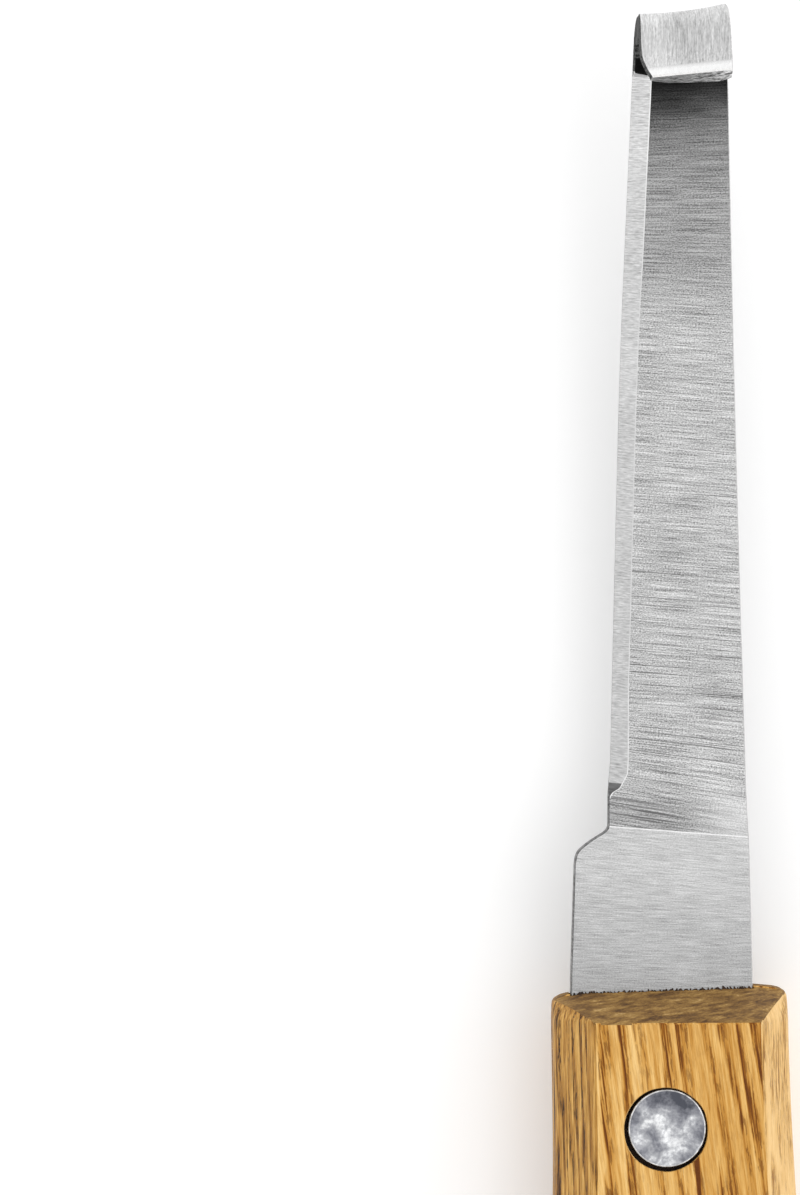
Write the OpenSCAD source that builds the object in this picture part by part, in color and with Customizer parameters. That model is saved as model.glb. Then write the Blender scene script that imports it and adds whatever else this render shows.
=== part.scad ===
// Hoof knife, right-hand pattern: a hooked blade whose tang is clasped by
// two wooden scales and three two-part rivets.
// It lies on the back of its handle. +Y runs from the butt to the hook, +X
// from the cutting edge to the spine, and +Z towards the side the hook
// curls to. The origin is the middle of the flat back of the handle.

/* [Handle] */
// Length of the handle
handle_len = 120; // [110:1:130]
// Thickness of the two scales together
handle_t = 18; // [16:0.5:22]
// Width of the handle at its front end
front_w = 23.6; // [22:0.1:25]
// How far the palm swell stands out on the cutting-edge side
edge_swell = 1; // [0.5:0.1:2]
// How far the palm swell stands out on the spine side
spine_swell = 2.2; // [0.5:0.1:3]
// How far the handle is drawn in before the butt
waist = 0.7; // [0:0.1:1]
// How far the butt flares out again
butt_flare = 1.3; // [0.5:0.1:2]
// Length over which the butt is rounded in plan
butt_round = 11; // [8:0.5:14]
// Height of the upright side wall of one scale
wall_h = 2.6; // [2:0.1:4]
// Width of the long chamfer on the cutting-edge side
edge_chamfer = 3.9; // [2.5:0.1:5]
// Width of the long chamfer on the spine side
spine_chamfer = 3.3; // [2.5:0.1:5]
// Run of the chamfer across the front end
front_chamfer = 2.7; // [1.5:0.1:4]
// Angle by which the front end is off square
front_slant = 2; // [0:0.5:4]

/* [Blade] */
// Thickness of the steel at the tang and the ricasso
stock_t = 2.8; // [2.4:0.1:3.2]
// Thickness of the ground blade and of the hook
ground_t = 2.2; // [1.8:0.1:2.4]
// Width of the ricasso where it leaves the handle
ricasso_w = 18.2; // [17:0.1:19]
// Length of the ricasso up to the grind, on the spine side
ricasso_len = 15.3; // [13:0.1:18]
// Angle by which the start of the grind is off square
grind_skew = 4.4; // [0:0.2:5]
// Width of the blade at the heel of the cutting edge
heel_w = 13.3; // [12:0.1:14]
// Width of the blade where the hook begins
toe_w = 9.2; // [8:0.1:11]
// Distance from the handle to the far side of the hook
blade_len = 96.6; // [94:0.1:100]
// Offset of the tang and the rivets towards the cutting edge
blade_offset = 0.8; // [0:0.1:1.5]
// Radius of the lengthwise bow of the blade
bow_r = 420; // [380:10:600]
// Width of the bevel ground along the cutting edge
bevel_w = 1.7; // [1.2:0.1:2.2]
// Thickness left at the cutting edge
edge_t = 0.3; // [0.2:0.05:0.6]

/* [Hook] */
// Inner radius of each of the two bends
bend_r = 2.2; // [1.8:0.1:2.6]
// Straight rise between the two bends
hook_rise = 1.8; // [1.5:0.1:3]
// Length of the straight end of the hook
hook_end = 2.4; // [2:0.1:4]
// Angle by which the hook is skewed across the blade
hook_skew = 6; // [4:0.5:6]

/* [Rivets] */
// Diameter of the rivet heads
head_d = 7.8; // [7:0.2:9]
// Thickness of the rivet heads
head_t = 1.3; // [1:0.1:1.6]
// Depth of the heads below the wood
head_sink = 0.05; // [0:0.05:0.2]
// Outer diameter of the socket half
socket_d = 5; // [4.5:0.1:5.5]
// Diameter of the pin half
pin_d = 3.2; // [3:0.1:3.6]
// Distance from the front end to the first rivet
first_rivet = 13.2; // [12:0.1:16]
// Distance between rivets
rivet_pitch = 38; // [34:0.5:40]

/* [Tang] */
// Length of the tang inside the handle
tang_len = 102; // [98:1:106]
// Width of the tang at its rounded end
tang_end_w = 11; // [10:0.5:13]

/* [Hidden] */
RIVETS = ["front", "middle", "rear"];

$fn = 64;
cut = 0.5;
clear = 2;
fit = 0.1;
pin_fit = 0.02;
head_gap = 0.2;
scale_t = handle_t / 2;
front_y = handle_len / 2;

// Half widths of the handle along its length, as [distance from the front
// end, half width], with an even curve from each point to the next.
half_w = front_w / 2;
edge_side = [
    [0, half_w], [18, half_w - 0.2], [62, half_w + edge_swell],
    [97, half_w - waist], [112, half_w - waist + butt_flare],
    [handle_len, half_w - waist + butt_flare]
];
spine_side = [
    [0, half_w], [50, half_w + spine_swell], [97, half_w - waist],
    [113, half_w - waist + butt_flare],
    [handle_len, half_w - waist + butt_flare]
];
ring_step = 4;
slant_fade = 3;
butt_start = handle_len - butt_round;
butt_end_share = 0.55;
butt_chamfer = 3;
butt_height_share = 0.55;
butt_steps = 7;
front_land = 0.9;
least_inset = 0.08;

function smooth(u) = u * u * (3 - 2 * u);
function between(a, b, v) =
    a[1] + (b[1] - a[1]) * smooth((v - a[0]) / (b[0] - a[0]));
function along(keys, v, i = 0) =
    i >= len(keys) - 2 || v <= keys[i + 1][0]
        ? between(keys[i], keys[i + 1], v)
        : along(keys, v, i + 1);
function butt_share(v) =
    v <= butt_start ? 1
    : sqrt(1 - (1 - pow(butt_end_share, 2))
        * pow((v - butt_start) / butt_round, 2));
function slant_shift(x, v) =
    x * tan(front_slant) * max(0, 1 - v / slant_fade);

// One cross-section of a scale, six points from edge side to spine side.
// The share is how much of the long chamfers and of the height it has.
function section(v, share) =
    let (
        xe = -along(edge_side, v) * butt_share(v),
        xs = along(spine_side, v) * butt_share(v),
        inset = max(share, least_inset),
        wall = front_land + (wall_h - front_land) * share,
        top = wall + (scale_t - wall_h) * inset,
        flat = [
            [xe, 0], [xe, wall],
            [xe + edge_chamfer * inset, top],
            [xs - spine_chamfer * inset, top],
            [xs, wall], [xs, 0]
        ]
    )
    [for (p = flat) [p[0], front_y - v + slant_shift(p[0], v), p[1]]];

stations = concat(
    [[0, 0], [front_chamfer, 1]],
    [for (v = [ring_step * 2 : ring_step : butt_start - 1]) [v, 1]],
    [for (i = [0 : butt_steps])
        let (v = handle_len - butt_round * cos(i * 90 / butt_steps))
        [v, min(1, butt_height_share
            + (1 - butt_height_share) * (handle_len - v) / butt_chamfer)]]
);

module half_scale_body() {
    rings = [for (s = stations) section(s[0], s[1])];
    n = len(rings[0]);
    last = len(rings) - 1;
    points = [for (r = rings) each r];
    sides = [
        for (i = [0 : last - 1], j = [0 : n - 1])
            let (k = (j + 1) % n)
            [i * n + j, i * n + k, (i + 1) * n + k, (i + 1) * n + j]
    ];
    front_cap = [for (j = [n - 1 : -1 : 0]) j];
    butt_cap = [for (j = [0 : n - 1]) last * n + j];
    polyhedron(points, concat([front_cap], sides, [butt_cap]), convexity = 4);
}

// Blade outline points, as distances from the front end of the handle.
ricasso_edge = -blade_offset - ricasso_w / 2;
ricasso_spine = -blade_offset + ricasso_w / 2;
neck_x = -6.15;
neck_y = 16.2;
heel_y = 21.5;
heel_edge = -5.8;
outer_r = bend_r + ground_t;
bow_start = 23;
neck_lap = 5;
bow_angle = asin((blade_len - outer_r - bow_start) / (bow_r - bend_r));
toe_y = bow_start + bow_r * sin(bow_angle);
toe_edge = -3.85;
heel_spine = heel_edge + heel_w;
toe_spine = toe_edge + toe_w;
edge_angle = atan((toe_edge - heel_edge) / (toe_y - heel_y));
grind_r = 6;
back_z = scale_t - stock_t / 2;
ground_z = back_z + ground_t;
bend_y = front_y + blade_len - outer_r;
bow_z = ground_z + bow_r;
bend_z = bow_z - (bow_r - bend_r) * cos(bow_angle);
unbevelled = 1.1;
hook_reach = outer_r + hook_end;
tang_shoulder = 12;
tang_lean = 10;
tang_steps = 20;
tip_cut_w = 1.3;
tip_cut_len = 1.7;
tip_cut_slope = 0.2;
bow_steps = 24;
bend_steps = 12;

// Points from angle a0 to a1 round a centre, less the first one.
function arc(centre, r, a0, a1, steps) =
    [for (i = [1 : steps])
        let (a = a0 + (a1 - a0) * i / steps)
        centre + r * [cos(a), sin(a)]];

// The tang from the spine side, round its end, to the cutting-edge side.
function tang_points(grow) =
    let (
        end = [-blade_offset, front_y - tang_len + tang_end_w / 2],
        end_r = tang_end_w / 2 + grow
    )
    concat(
        [[ricasso_spine + grow, front_y - tang_shoulder]],
        arc(end, end_r, tang_lean, -180 - tang_lean, tang_steps),
        [[ricasso_edge - grow, front_y - tang_shoulder]]
    );

function rivet_y(i) = front_y - first_rivet - i * rivet_pitch;
module at_rivet(i) {
    translate([-blade_offset, rivet_y(i), 0]) children();
}

// One scale, drawn from the middle plane of the handle upwards.
module scale_half() {
    difference() {
        half_scale_body();
        translate([0, 0, -cut])
            linear_extrude(stock_t / 2 + fit + cut) polygon(concat(
                [[ricasso_spine + fit, front_y + clear]], tang_points(fit),
                [[ricasso_edge - fit, front_y + clear]]
            ));
        for (i = [0 : len(RIVETS) - 1]) at_rivet(i) {
            translate([0, 0, -cut])
                cylinder(d = socket_d + 2 * fit, h = handle_t);
            translate([0, 0, scale_t - head_sink - head_t])
                cylinder(d = head_d + 2 * head_gap, h = handle_t);
        }
    }
}

module front_scale() {
    color("burlywood") translate([0, 0, scale_t]) scale_half();
}

module back_scale() {
    color("peru") translate([0, 0, scale_t])
        mirror([0, 0, 1]) scale_half();
}

// The blade from above, as distances from the front end of the handle.
cutting_edge_points = [
    [ricasso_edge + 0.4, 12.6], [ricasso_edge + 0.6, 13.6],
    [ricasso_edge + 1.9, 14.8], [neck_x - 0.1, neck_y - 0.3],
    [neck_x, neck_y], [heel_edge, heel_y], [toe_edge, toe_y],
    [toe_edge + 0.3, blade_len + cut]
];
spine_points = [
    [toe_spine, blade_len + cut], [toe_spine, toe_y],
    [heel_spine, heel_y], [ricasso_spine - 0.5, ricasso_len]
];
module blade_outline() {
    polygon(concat(
        tang_points(0),
        [for (p = concat(cutting_edge_points, spine_points))
            p + [0, front_y]]
    ));
}

// The ground strip from the side: flat, then bowed, then up, over and back.
module strip_profile() {
    start = front_y + bow_start;
    bow = [start, bow_z];
    low = [bend_y, bend_z];
    high = low + [0, hook_rise];
    toe_turn = bow_angle - 90;
    polygon(concat(
        [[start - neck_lap, back_z], [start, back_z]],
        arc(bow, bow_r + ground_t, -90, toe_turn, bow_steps),
        arc(low, outer_r, toe_turn, 0, bend_steps),
        [high + [outer_r, 0]],
        arc(high, outer_r, 0, 90, bend_steps),
        [high + [-hook_end, outer_r], high + [-hook_end, bend_r]],
        [high + [0, bend_r]],
        arc(high, bend_r, 90, 0, bend_steps),
        [low + [bend_r, 0]],
        arc(low, bend_r, 0, toe_turn, bend_steps),
        arc(bow, bow_r, toe_turn, -90, bow_steps),
        [[start - neck_lap, ground_z]]
    ));
}

module hooked_strip() {
    translate([0, bend_y, 0]) rotate([0, 0, hook_skew])
        translate([-front_w, -bend_y, 0]) rotate([90, 0, 90])
            linear_extrude(2 * front_w) strip_profile();
}

// The wheel that grinds the blade thinner runs out against the ricasso.
module grind_relief() {
    run = sqrt(pow(grind_r, 2) - pow(grind_r - (stock_t - ground_t), 2));
    translate([ricasso_spine, front_y + ricasso_len + run, ground_z])
        rotate([0, 0, -grind_skew]) translate([-front_w, 0, 0]) {
            cube([2 * front_w, 2 * neck_lap, stock_t]);
            translate([0, 0, grind_r]) rotate([0, 90, 0])
                cylinder(r = grind_r, h = 2 * front_w, $fn = 96);
        }
}

// The bevel is a cone round the axis of the bow, so its width is even.
module edge_bevel() {
    turn = bow_angle - unbevelled / bow_r * 180 / PI;
    side = cut * (ground_t - edge_t) / bevel_w;
    translate([heel_edge, front_y + bow_start, bow_z])
        rotate([0, 0, -edge_angle]) rotate([90, 0, 90])
            rotate([0, 0, -90]) rotate_extrude(angle = turn, $fn = 360)
                polygon([
                    [bow_r + ground_t - edge_t + side, -cut],
                    [bow_r - side, bevel_w + cut],
                    [bow_r - clear, bevel_w + cut], [bow_r - clear, -cut]
                ]);
}

module blade() {
    color("silver") difference() {
        intersection() {
            union() {
                translate([-front_w, front_y - tang_len - cut, back_z])
                    cube([
                        2 * front_w,
                        tang_len + bow_start - neck_lap / 2 + cut, stock_t
                    ]);
                hooked_strip();
            }
            linear_extrude(2 * blade_len) blade_outline();
        }
        grind_relief();
        edge_bevel();
        for (i = [0 : len(RIVETS) - 1]) at_rivet(i)
            cylinder(d = socket_d + 2 * fit, h = handle_t);
        // The free end is ground away at its cutting-edge corner.
        translate([toe_edge, front_y + blade_len, bend_z])
            linear_extrude(blade_len) polygon([
                [-clear, -hook_reach - clear],
                [tip_cut_w + tip_cut_slope * clear, -hook_reach - clear],
                [tip_cut_w, -hook_reach], [0, tip_cut_len - hook_reach],
                [-clear, tip_cut_len - hook_reach]
            ]);
    }
}

// Socket half of a rivet: a flat head on a tube, driven from the front.
socket_len = 13;
socket_depth = 11.5;
module rivet_socket() {
    head_z = handle_t - head_sink - head_t;
    color("gainsboro") difference() {
        union() {
            translate([0, 0, head_z]) cylinder(d = head_d, h = head_t);
            translate([0, 0, head_z - socket_len])
                cylinder(d = socket_d, h = socket_len + cut);
        }
        translate([0, 0, head_z - socket_len - cut])
            cylinder(d = pin_d, h = socket_depth + cut);
    }
}

// Pin half of a rivet: a flat head on a pin, driven from the back.
pin_len = 10.5;
module rivet_pin() {
    color("lightgray") union() {
        translate([0, 0, head_sink]) cylinder(d = head_d, h = head_t);
        translate([0, 0, head_sink + head_t - cut])
            cylinder(d = pin_d - 2 * pin_fit, h = pin_len + cut);
    }
}

blade();
front_scale();
back_scale();
for (i = [0 : len(RIVETS) - 1]) {
    at_rivet(i) rivet_socket();
    at_rivet(i) rivet_pin();
}
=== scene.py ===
"""Hoof knife: the finished meshes, materials, light and camera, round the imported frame."""
import math
from collections import namedtuple

import bmesh
import bpy
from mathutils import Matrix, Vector, noise


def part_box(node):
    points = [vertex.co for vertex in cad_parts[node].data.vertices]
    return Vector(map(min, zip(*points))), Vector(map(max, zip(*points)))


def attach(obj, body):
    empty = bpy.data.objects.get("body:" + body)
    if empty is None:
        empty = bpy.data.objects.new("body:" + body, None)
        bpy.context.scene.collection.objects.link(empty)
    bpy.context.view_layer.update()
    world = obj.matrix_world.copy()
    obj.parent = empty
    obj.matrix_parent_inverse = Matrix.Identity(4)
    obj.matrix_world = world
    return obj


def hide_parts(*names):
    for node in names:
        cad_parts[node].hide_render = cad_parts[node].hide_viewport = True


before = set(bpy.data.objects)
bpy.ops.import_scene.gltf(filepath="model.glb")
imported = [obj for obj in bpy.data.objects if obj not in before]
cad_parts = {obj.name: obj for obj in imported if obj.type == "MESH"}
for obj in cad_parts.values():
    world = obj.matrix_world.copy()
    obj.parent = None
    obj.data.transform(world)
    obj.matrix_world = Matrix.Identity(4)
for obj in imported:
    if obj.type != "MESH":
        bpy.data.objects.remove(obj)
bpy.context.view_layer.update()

MM = 0.001
BODY = "root"
PLACES = ("front", "middle", "rear")


def box_mm(node):
    """The lowest and highest corner of a CAD node, in millimetres."""
    low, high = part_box(node)
    return Vector(low) / MM, Vector(high) / MM


def middle_mm(node):
    """The middle of a CAD node's box, in millimetres."""
    low, high = box_mm(node)
    return (low + high) / 2


# --------------------------------------------------------------- sizes, in mm
back_low, _ = box_mm("back_scale")
front_low, front_high = box_mm("front_scale")

FRONT_Y = -back_low.y
MIDDLE_Z = front_low.z
SCALE_T = front_high.z - front_low.z
HANDLE_LEN = 2 * FRONT_Y

STOCK_T = 2.8
GROUND_T = 2.2
BACK_Z = MIDDLE_Z - STOCK_T / 2
BLADE_OFFSET = 0.8
RICASSO_W = 18.2
RICASSO_LEN = 15.3
RICASSO_EDGE = -BLADE_OFFSET - RICASSO_W / 2
RICASSO_SPINE = -BLADE_OFFSET + RICASSO_W / 2
GRIND_R = 6
BOW_START = 23
BOW_R = 420
BEND_R = 2.2
OUTER_R = BEND_R + GROUND_T
BLADE_LEN = 96.6
HOOK_RISE = 1.8
HOOK_END = 2.22
HOOK_SKEW = math.tan(math.radians(6.6))
GRIND_SKEW = -math.tan(math.radians(4.4))
BOW_ANGLE = math.asin((BLADE_LEN - OUTER_R - BOW_START) / (BOW_R - BEND_R))
EDGE_T = 0.3
HOOK_DISH = 1.0
BEVEL_W = 1.7
NICK = 0.09
RIDGE_W = 0.11
LIP_W = 0.12
GRIND_START = RICASSO_LEN + 0.95
BEVEL_START = 19.1
BEVEL_END = 92
TIP_START = 102.35
TANG_LEN = 102
TANG_END_W = 11
TANG_SHOULDER = 12
FIT = 0.1
HEAD_R = 3.9
HEAD_T = 1.3
SOCKET_R = 2.5
PIN_R = 1.6

RIVET_CENTRES = {place: middle_mm(place + "_rivet_socket") for place in PLACES}


# ------------------------------------------------------------ small geometry
def keyed(keys, at):
    """Straight-line interpolation in a list of (place, value)."""
    if at <= keys[0][0]:
        return keys[0][1]
    for (a, va), (b, vb) in zip(keys, keys[1:]):
        if at <= b:
            return va + (vb - va) * (at - a) / (b - a)
    return keys[-1][1]


def softened(keys, at, reach=0.4):
    """The same with its corners rounded over the reach."""
    steps = (-1, -0.5, 0, 0.5, 1)
    return sum(keyed(keys, at + reach * s) for s in steps) / len(steps)


def eased(keys, at):
    """Interpolation with an even S-curve from each key to the next."""
    if at <= keys[0][0]:
        return keys[0][1]
    for (a, va), (b, vb) in zip(keys, keys[1:]):
        if at <= b:
            u = (at - a) / (b - a)
            return va + (vb - va) * u * u * (3 - 2 * u)
    return keys[-1][1]


def smooth_min(a, b, k):
    """The lower of two values, blended where they are closer than k."""
    h = max(k - abs(a - b), 0) / k
    return min(a, b) - h * h * k / 4


def spread(a, b, count):
    """Evenly spaced numbers from a to b, both ends included."""
    return [a + (b - a) * i / (count - 1) for i in range(count)]


def ripple(x, y, z, size, seed):
    """Smooth noise from -1 to 1 whose features are about size across."""
    return noise.noise(Vector((x / size + seed, y / size, z / size)))


def make_object(name, verts, faces):
    """A mesh object from points in millimetres."""
    mesh = bpy.data.meshes.new(name)
    mesh.from_pydata([Vector(v) * MM for v in verts], [], faces)
    mesh.update()
    obj = bpy.data.objects.new(name, mesh)
    bpy.context.scene.collection.objects.link(obj)
    return obj


def finish_shading(obj, degrees):
    """Outward normals, and smooth shading broken only at real edges."""
    work = bmesh.new()
    work.from_mesh(obj.data)
    bmesh.ops.recalc_face_normals(work, faces=work.faces)
    work.to_mesh(obj.data)
    work.free()
    obj.data.shade_smooth()
    obj.data.set_sharp_from_angle(angle=math.radians(degrees))


def cut_away(obj, cutters):
    """Boolean differences, applied, after which the cutters are removed."""
    for cutter in cutters:
        cut = obj.modifiers.new("cut", "BOOLEAN")
        cut.operation = "DIFFERENCE"
        cut.solver = "EXACT"
        cut.object = cutter
    depsgraph = bpy.context.evaluated_depsgraph_get()
    shaped = bpy.data.meshes.new_from_object(obj.evaluated_get(depsgraph))
    shaped.name = obj.name
    obj.modifiers.clear()
    old = obj.data
    obj.data = shaped
    bpy.data.meshes.remove(old)
    for cutter in cutters:
        bpy.data.meshes.remove(cutter.data)


def skin(rings, cap_start=True, cap_end=True):
    """Faces between equal rings of points, closed by flat caps."""
    count = len(rings[0])
    faces = []
    for i in range(len(rings) - 1):
        for j in range(count):
            k = (j + 1) % count
            a, b = i * count, (i + 1) * count
            faces.append((a + j, a + k, b + k, b + j))
    if cap_start:
        faces.append(tuple(reversed(range(count))))
    if cap_end:
        last = (len(rings) - 1) * count
        faces.append(tuple(range(last, last + count)))
    return faces


def lathe(name, profile, centre, segments=96, shape=None):
    """A solid turned about an upright axis; the profile is (radius, z).

    shape(x, y, radius, ring) gives a point's new x and y and its lift.
    """
    verts = []
    for ring, (radius, z) in enumerate(profile):
        for i in range(segments):
            a = 2 * math.pi * i / segments
            x, y, lift = radius * math.cos(a), radius * math.sin(a), 0
            if shape:
                x, y, lift = shape(x, y, radius, ring)
            verts.append((centre.x + x, centre.y + y, z + lift))
    rings = [range(segments)] * len(profile)
    return make_object(name, verts, skin(rings))


# ------------------------------------------------------------- shader helpers
def linear(r, g, b):
    """A display colour of 0 to 255 as scene-linear RGBA."""
    def one(c):
        c /= 255
        return c / 12.92 if c <= 0.04045 else ((c + 0.055) / 1.055) ** 2.4
    return one(r), one(g), one(b), 1


def grey(level):
    return linear(level, level, level)


class Shader:
    """A material with a Principled BSDF and short calls that add nodes."""

    def __init__(self, name):
        self.material = bpy.data.materials.new(name)
        self.material.use_nodes = True
        self.tree = self.material.node_tree
        self.bsdf = self.tree.nodes["Principled BSDF"]

    def set(self, **values):
        for name, value in values.items():
            self.bsdf.inputs[name.replace("_", " ")].default_value = value

    def node(self, kind, **settings):
        made = self.tree.nodes.new("ShaderNode" + kind)
        for name, value in settings.items():
            setattr(made, name, value)
        return made

    def feed(self, socket, value):
        """Links an output, or sets a plain value."""
        if isinstance(value, bpy.types.NodeSocket):
            self.tree.links.new(value, socket)
        else:
            socket.default_value = value

    def to(self, name, value):
        self.feed(self.bsdf.inputs[name], value)

    def object_mm(self):
        """Object coordinates in millimetres."""
        coords = self.node("TexCoord").outputs["Object"]
        return self.stretch(coords, (1 / MM, 1 / MM, 1 / MM))

    def lay(self):
        """The blade's own coordinates: across and along the steel, in mm."""
        return self.node("UVMap", uv_map="lay").outputs["UV"]

    def stretch(self, coords, scale, turn=(0, 0, 0), shift=(0, 0, 0)):
        made = self.node("Mapping")
        self.feed(made.inputs["Vector"], coords)
        made.inputs["Location"].default_value = shift
        made.inputs["Rotation"].default_value = turn
        made.inputs["Scale"].default_value = scale
        return made.outputs["Vector"]

    def noise(self, coords, scale=1, detail=2, roughness=0.5, distortion=0):
        made = self.node("TexNoise")
        self.feed(made.inputs["Vector"], coords)
        made.inputs["Scale"].default_value = scale
        made.inputs["Detail"].default_value = detail
        made.inputs["Roughness"].default_value = roughness
        made.inputs["Distortion"].default_value = distortion
        return made.outputs["Fac"]

    def math(self, operation, a, b=0.0, c=None, clamp=False):
        made = self.node("Math", operation=operation, use_clamp=clamp)
        self.feed(made.inputs[0], a)
        self.feed(made.inputs[1], b)
        if c is not None:
            self.feed(made.inputs[2], c)
        return made.outputs[0]

    def remap(self, value, a, b, to_a=0.0, to_b=1.0):
        """A clamped, smooth step from a..b to to_a..to_b."""
        made = self.node("MapRange", interpolation_type="SMOOTHSTEP")
        for name, number in (
            ("Value", value), ("From Min", a), ("From Max", b),
            ("To Min", to_a), ("To Max", to_b),
        ):
            self.feed(made.inputs[name], number)
        return made.outputs["Result"]

    def ramp(self, value, stops):
        made = self.node("ValToRGB")
        elements = made.color_ramp.elements
        while len(elements) < len(stops):
            elements.new(1)
        for element, (place, colour) in zip(elements, stops):
            element.position = place
            element.color = colour
        self.feed(made.inputs["Fac"], value)
        return made.outputs["Color"]

    def mix(self, factor, a, b, blend="MIX"):
        made = self.node("Mix", data_type="RGBA", blend_type=blend)
        made.clamp_factor = True
        self.feed(made.inputs["Factor"], factor)
        self.feed(made.inputs[6], a)
        self.feed(made.inputs[7], b)
        return made.outputs[2]

    def split(self, coords):
        made = self.node("SeparateXYZ")
        self.feed(made.inputs[0], coords)
        return made.outputs

    def bump(self, height, strength, distance):
        made = self.node("Bump")
        self.feed(made.inputs["Height"], height)
        made.inputs["Strength"].default_value = strength
        made.inputs["Distance"].default_value = distance * MM
        self.to("Normal", made.outputs["Normal"])


# ------------------------------------------------------------------ materials
# Where the grinding wheel's hollow ends, and the painted shade that darkens the stretch towards the
# hook, for the hook's shadow and dark reflection.
HOLLOW_END = GRIND_START + 2.6
HOOK_SHADE_FROM, HOOK_SHADE_TO = 66, 92
HOOK_SHADE_GREYS = (
    (0.0, grey(255)), (0.1, grey(240)), (0.3, grey(216)), (0.49, grey(214)),
    (0.64, grey(192)), (0.76, grey(161)), (0.81, grey(127)), (0.87, grey(84)),
    (0.91, grey(60)), (0.97, grey(42)),
)


def steel(name, dark, light, turn, rough, fine=0.9, broad=0.3, patch=0.3, run=0.4, grain=1.0,
          grit=0.5):
    """Brushed steel: brush marks at an angle of turn degrees, finer with a higher grain."""
    s = Shader(name)
    across = s.stretch(s.lay(), (1, 1, 1), turn=(0, 0, math.radians(turn)))
    hair = s.noise(s.stretch(across, (run * grain, 4.4 * grain, 1)), 1, 3, 0.7)
    speck = s.noise(s.stretch(across, (3.0 * grain, 5.0 * grain, 1), shift=(5, 3, 0)), 1, 2, 0.6)
    band = s.noise(s.stretch(across, (0.1, 1.5, 1), shift=(3, 1, 0)), 1, 3, 0.6)
    cloud = s.noise(s.stretch(across, (0.12, 0.2, 1), shift=(7, 2, 0)), 1, 2, 0.5)
    level = 0.5
    for part, amount in ((hair, fine), (speck, fine * grit), (band, broad), (cloud, patch)):
        level = s.math("MULTIPLY_ADD", s.math("SUBTRACT", part, 0.5), amount * 2, level)
    colour = s.ramp(level, ((0.0, grey(dark)), (1.0, grey(light))))
    s.to("Base Color", colour)
    s.set(Metallic=1.0, Anisotropic=0.5)
    s.to("Tangent", s.node("Tangent", direction_type="UV_MAP", uv_map="lay").outputs[0])
    s.to("Roughness", s.remap(hair, 0.25, 0.75, rough + 0.08, rough - 0.08))
    s.bump(hair, 0.3, 0.02)
    return s, across, colour


def scratches(s, across, size, shift):
    """Thin broken lines along the brush marks, as a mask."""
    lines = s.noise(s.stretch(across, (0.03, size, 1), shift=shift), 1, 0, 0.4)
    breaks = s.noise(s.stretch(across, (0.09, 0.5, 1), shift=shift), 1, 2, 0.6)
    return s.math("MULTIPLY", s.remap(lines, 0.66, 0.76), s.remap(breaks, 0.4, 0.58))


GROUND_LOOK = {
    "dark": 108, "light": 228, "turn": 4.5, "rough": 0.36, "fine": 1.2,
    "broad": 0.14, "patch": 0.1, "run": 0.09, "grain": 2.0, "grit": 0.95,
}


def ground_steel():
    """The ground faces: scratched near the heel, with painted shade and light across the grinding
    hollow and painted shade darkening the stretch at the bend.
    """
    s, across, colour = steel("ground_steel", **GROUND_LOOK)
    parts = s.split(s.lay())
    run = parts["Y"]
    marks = s.math("MAXIMUM", scratches(s, across, 4.2, (11, 5, 0)),
                   scratches(s, across, 6.5, (2, 9, 0)))
    heel = s.remap(run, 64, 26, 0.3, 1.0)
    colour = s.mix(s.math("MULTIPLY", marks, heel), colour, grey(96))
    spine_side = s.math("MULTIPLY_ADD", parts["X"], 1 / 14, 0.5)
    hollow = s.remap(run, HOLLOW_END + 3, HOLLOW_END - 1)
    # painted shade across the grinding hollow: darker on the edge side, lighter towards the spine
    hollow_shade = s.ramp(spine_side, (
        (0.1, grey(244)), (0.5, grey(236)), (0.7, grey(250)), (1.0, grey(255)),
    ))
    shaded = s.mix(1.0, colour, hollow_shade, "MULTIPLY")
    grooves = s.noise(s.stretch(across, (0.1, 4.0, 1), shift=(8, 1, 0)), 1, 2, 0.6)
    strength = s.remap(spine_side, 1.0, 0.3, 0.3, 0.8)
    grooves = s.math("MULTIPLY", s.remap(grooves, 0.47, 0.66), strength)
    shaded = s.mix(grooves, shaded, grey(84))
    # painted light: the hollow lightened towards the spine side
    shaded = s.mix(s.remap(spine_side, 0.6, 1.0, 0, 0.4), shaded, grey(240))
    colour = s.mix(hollow, colour, shaded)
    # painted shade: the colour is multiplied darker towards the hook, for the hook's shadow and dark
    # reflection
    wobble = s.noise(s.stretch(across, (0.2, 0.5, 1), shift=(1, 6, 0)), 1, 3, 0.6)
    place = s.math("MULTIPLY_ADD", s.math("SUBTRACT", wobble, 0.5), 2.5, run)
    place = s.math("DIVIDE", s.math("SUBTRACT", place, HOOK_SHADE_FROM), HOOK_SHADE_TO - HOOK_SHADE_FROM)
    s.to("Base Color", s.mix(1.0, colour, s.ramp(place, HOOK_SHADE_GREYS), "MULTIPLY"))
    return s.material


def shaded_by_run(steel_parts, start, end, shades):
    """Multiplies a steel's colour by greys spaced between two places on the blade."""
    s, _, colour = steel_parts
    along = s.math("SUBTRACT", s.split(s.lay())["Y"], start)
    along = s.math("DIVIDE", along, end - start)
    stops = [(i / (len(shades) - 1), grey(shade)) for i, shade in enumerate(shades)]
    s.to("Base Color", s.mix(1.0, colour, s.ramp(along, stops), "MULTIPLY"))
    return s.material


def plain_steel(name, *values, **more):
    return steel(name, *values, **more)[0].material


def hook_inside_shade():
    """Painted shade for the hollow of the hook: dark, matt steel without reflection, for the unlit
    inside of the curl.
    """
    s, _, _ = steel("inside_shade_steel", 14, 116, turn=0, rough=0.6, fine=1.2, patch=0.5, run=2.0)
    s.set(Metallic=0.0)
    s.bsdf.inputs["Specular IOR Level"].default_value = 0.0
    return s.material


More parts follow.
